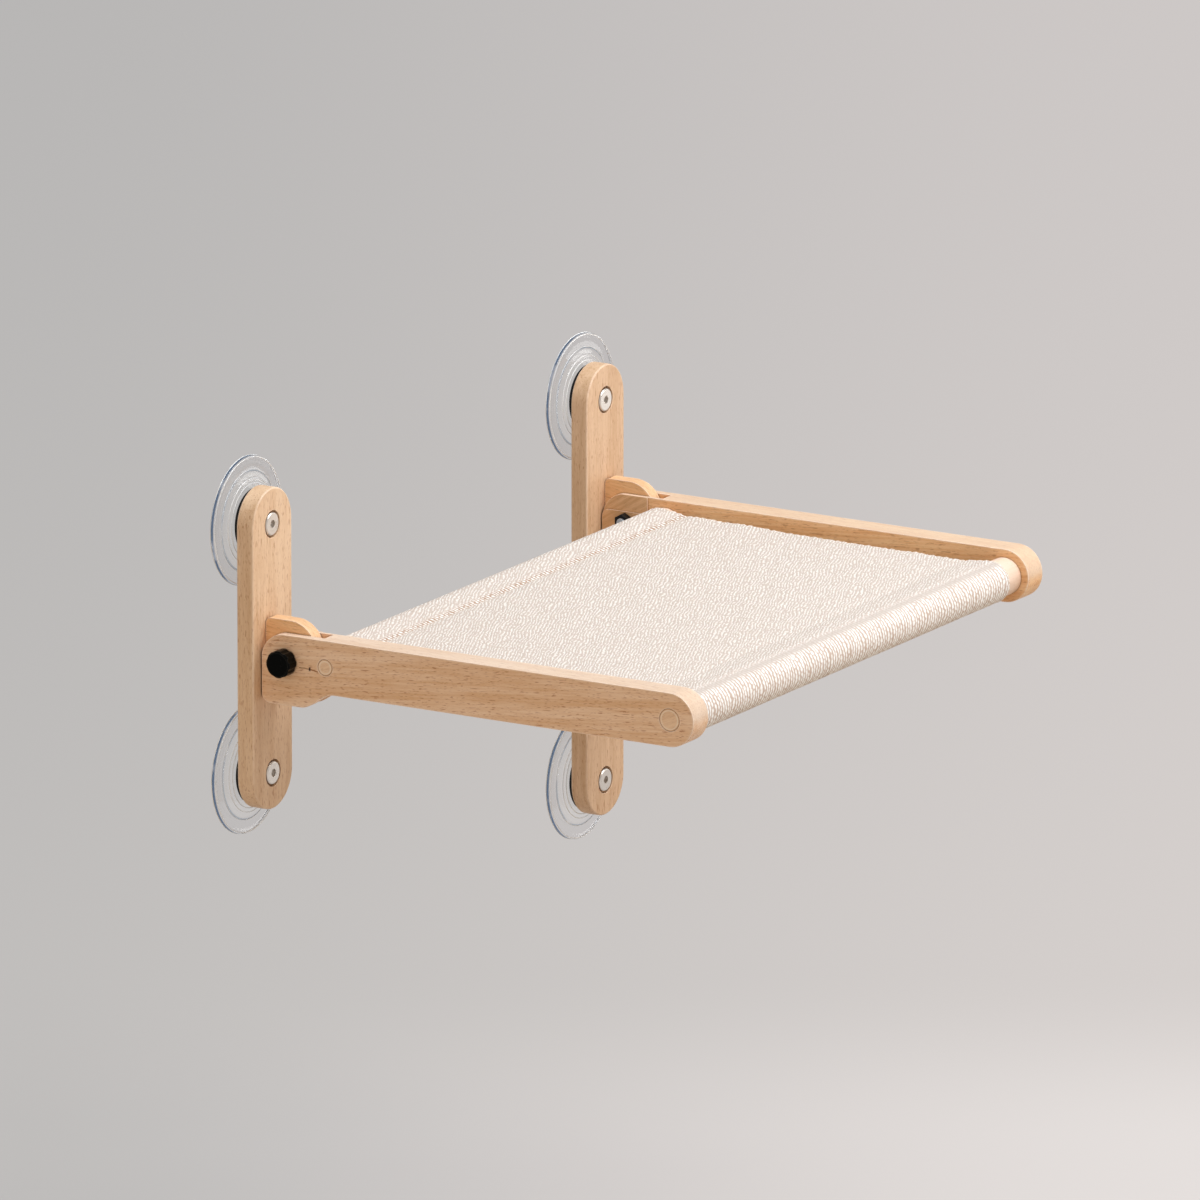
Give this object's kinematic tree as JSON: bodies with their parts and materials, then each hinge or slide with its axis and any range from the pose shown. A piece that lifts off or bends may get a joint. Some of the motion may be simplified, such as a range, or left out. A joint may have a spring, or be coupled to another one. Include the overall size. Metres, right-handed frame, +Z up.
{
  "type": "window mounted cat perch",
  "caption": "Fold-up pet perch: a cloth sling on dowels between wooden arms, hinged with clamping knobs to uprights that hold to a window by suction cups.",
  "frame": {"origin": "on the plane of the suction cups' sealing rims, midway between the uprights, at the height of the fold's axis", "axes": "+X to the right along the window, +Y into the window, +Z up"},
  "size_m": [0.505, 0.3453, 0.352],
  "materials": {
    "beech": "sanded and clear oiled",
    "warm_beech": "sanded",
    "plug_wood": "sanded end plugs",
    "cream_cloth": "coarse textured weave",
    "clear_vinyl": "clear, glossy",
    "black_rubber": "matt",
    "satin_nickel": "satin nickel plate",
    "brass": "plain turned",
    "steel": "zinc plated",
    "black_steel": "blackened",
    "black_plastic": "moulded, semi-gloss"
  },
  "bodies": {
    "window_side": {"left_upright": "beech", "right_upright": "beech", "upper_left_cup": "clear_vinyl", "lower_left_cup": "clear_vinyl", "upper_right_cup": "clear_vinyl", "lower_right_cup": "clear_vinyl", "cup_inserts": "brass", "cup_washers": "black_rubber", "left_cup_bolts": "satin_nickel", "right_cup_bolts": "satin_nickel", "left_hinge_block": "warm_beech", "right_hinge_block": "warm_beech", "hinge_block_screws": "steel", "left_hinge_bush": "brass", "right_hinge_bush": "brass"},
    "sling_frame": {"left_arm": "beech", "right_arm": "beech", "left_inner_plate": "warm_beech", "right_inner_plate": "warm_beech", "left_cover_plate": "warm_beech", "right_cover_plate": "warm_beech", "left_pivot_nut": "black_steel", "right_pivot_nut": "black_steel", "rear_dowel": "beech", "front_dowel": "beech", "dowel_screws": "steel", "rear_plugs": "plug_wood", "front_plugs": "plug_wood", "sling": "cream_cloth"},
    "left_washer": {"left_knob_washer": "black_plastic"},
    "left_knob": {"left_knob": "black_plastic", "left_knob_stud": "steel"},
    "right_washer": {"right_knob_washer": "black_plastic"},
    "right_knob": {"right_knob": "black_plastic", "right_knob_stud": "steel"}
  },
  "joints": [
    {"name": "fold", "type": "hinge", "parent": "window_side", "child": "sling_frame", "pos_m": [0, -0.0396, 0], "axis": [-1, 0, 0], "range_deg": [0, 90]},
    {"name": "left_washer_slide", "type": "slide", "parent": "sling_frame", "child": "left_washer", "axis": [-1, 0, 0], "range_m": [0, 0.0021]},
    {"name": "left_knob_turn", "type": "hinge", "parent": "left_washer", "child": "left_knob", "pos_m": [-0.226, -0.0396, 0], "axis": [-1, 0, 0], "range_deg": [0, 720]},
    {"name": "right_washer_slide", "type": "slide", "parent": "sling_frame", "child": "right_washer", "axis": [1, 0, 0], "range_m": [0, 0.0021]},
    {"name": "right_knob_turn", "type": "hinge", "parent": "right_washer", "child": "right_knob", "pos_m": [0.226, -0.0396, 0], "axis": [1, 0, 0], "range_deg": [0, 720]}
  ],
  "couplings": [
    {"joint": "left_washer_slide", "follows": "left_knob_turn", "m_per_rad": 0.00015915},
    {"joint": "right_washer_slide", "follows": "right_knob_turn", "m_per_rad": 0.00015915}
  ]
}
